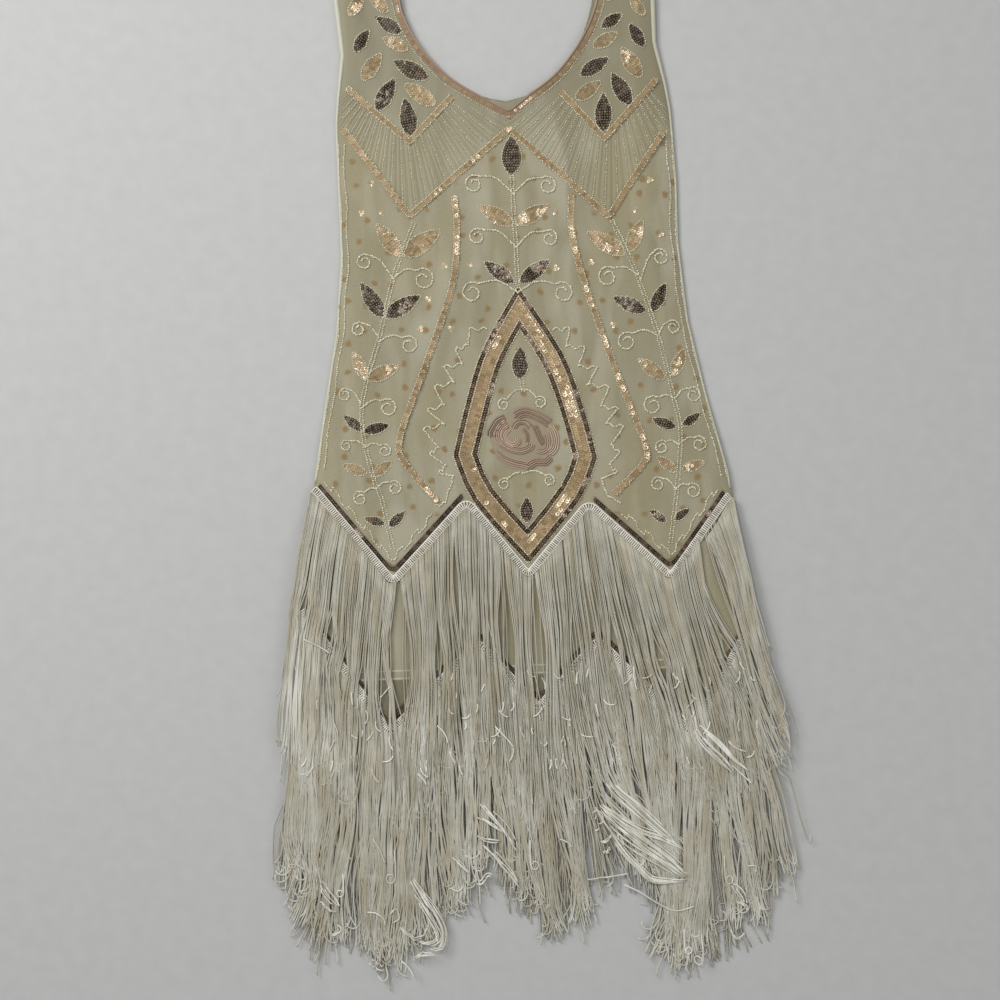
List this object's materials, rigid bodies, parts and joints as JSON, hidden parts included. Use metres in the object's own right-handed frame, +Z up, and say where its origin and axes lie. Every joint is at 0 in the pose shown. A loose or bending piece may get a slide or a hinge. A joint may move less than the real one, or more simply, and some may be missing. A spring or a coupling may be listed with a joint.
{
  "type": "flapper dress",
  "caption": "Sleeveless V-neck flapper dress laid flat: sequinned net over a plain lining, with two tiers of long zigzag-edged fringe front and back",
  "frame": {"origin": "centre of the bounding box in plan, at the level of the surface that the dress lies on", "axes": "+Y from the fringe towards the shoulders, +X to the right as the front is seen from above, +Z up from the surface"},
  "size_m": [0.5593, 1.1724, 0.0144],
  "materials": {
    "net": "fine net over a lining, matt",
    "lining": "soft satin",
    "fringe": "satin thread",
    "peach_sequin": "metallic sequins",
    "bronze_sequin": "dark metallic sequins",
    "rose_thread": "satin thread"
  },
  "bodies": {
    "root": {"front_panel": "net", "back_panel": "net", "lining": "lining", "fringe_front_upper": "fringe", "fringe_front_lower": "fringe", "fringe_back_upper": "fringe", "fringe_back_lower": "fringe", "neck_binding_front": "peach_sequin", "lozenge_frame": "peach_sequin", "yoke_band": "peach_sequin", "yoke_point_left": "peach_sequin", "yoke_point_right": "peach_sequin", "princess_band_left": "peach_sequin", "princess_band_right": "peach_sequin", "zigzag_band_upper_left": "bronze_sequin", "zigzag_band_upper_right": "bronze_sequin", "zigzag_band_lower": "bronze_sequin", "rose": "rose_thread"}
  },
  "joints": []
}
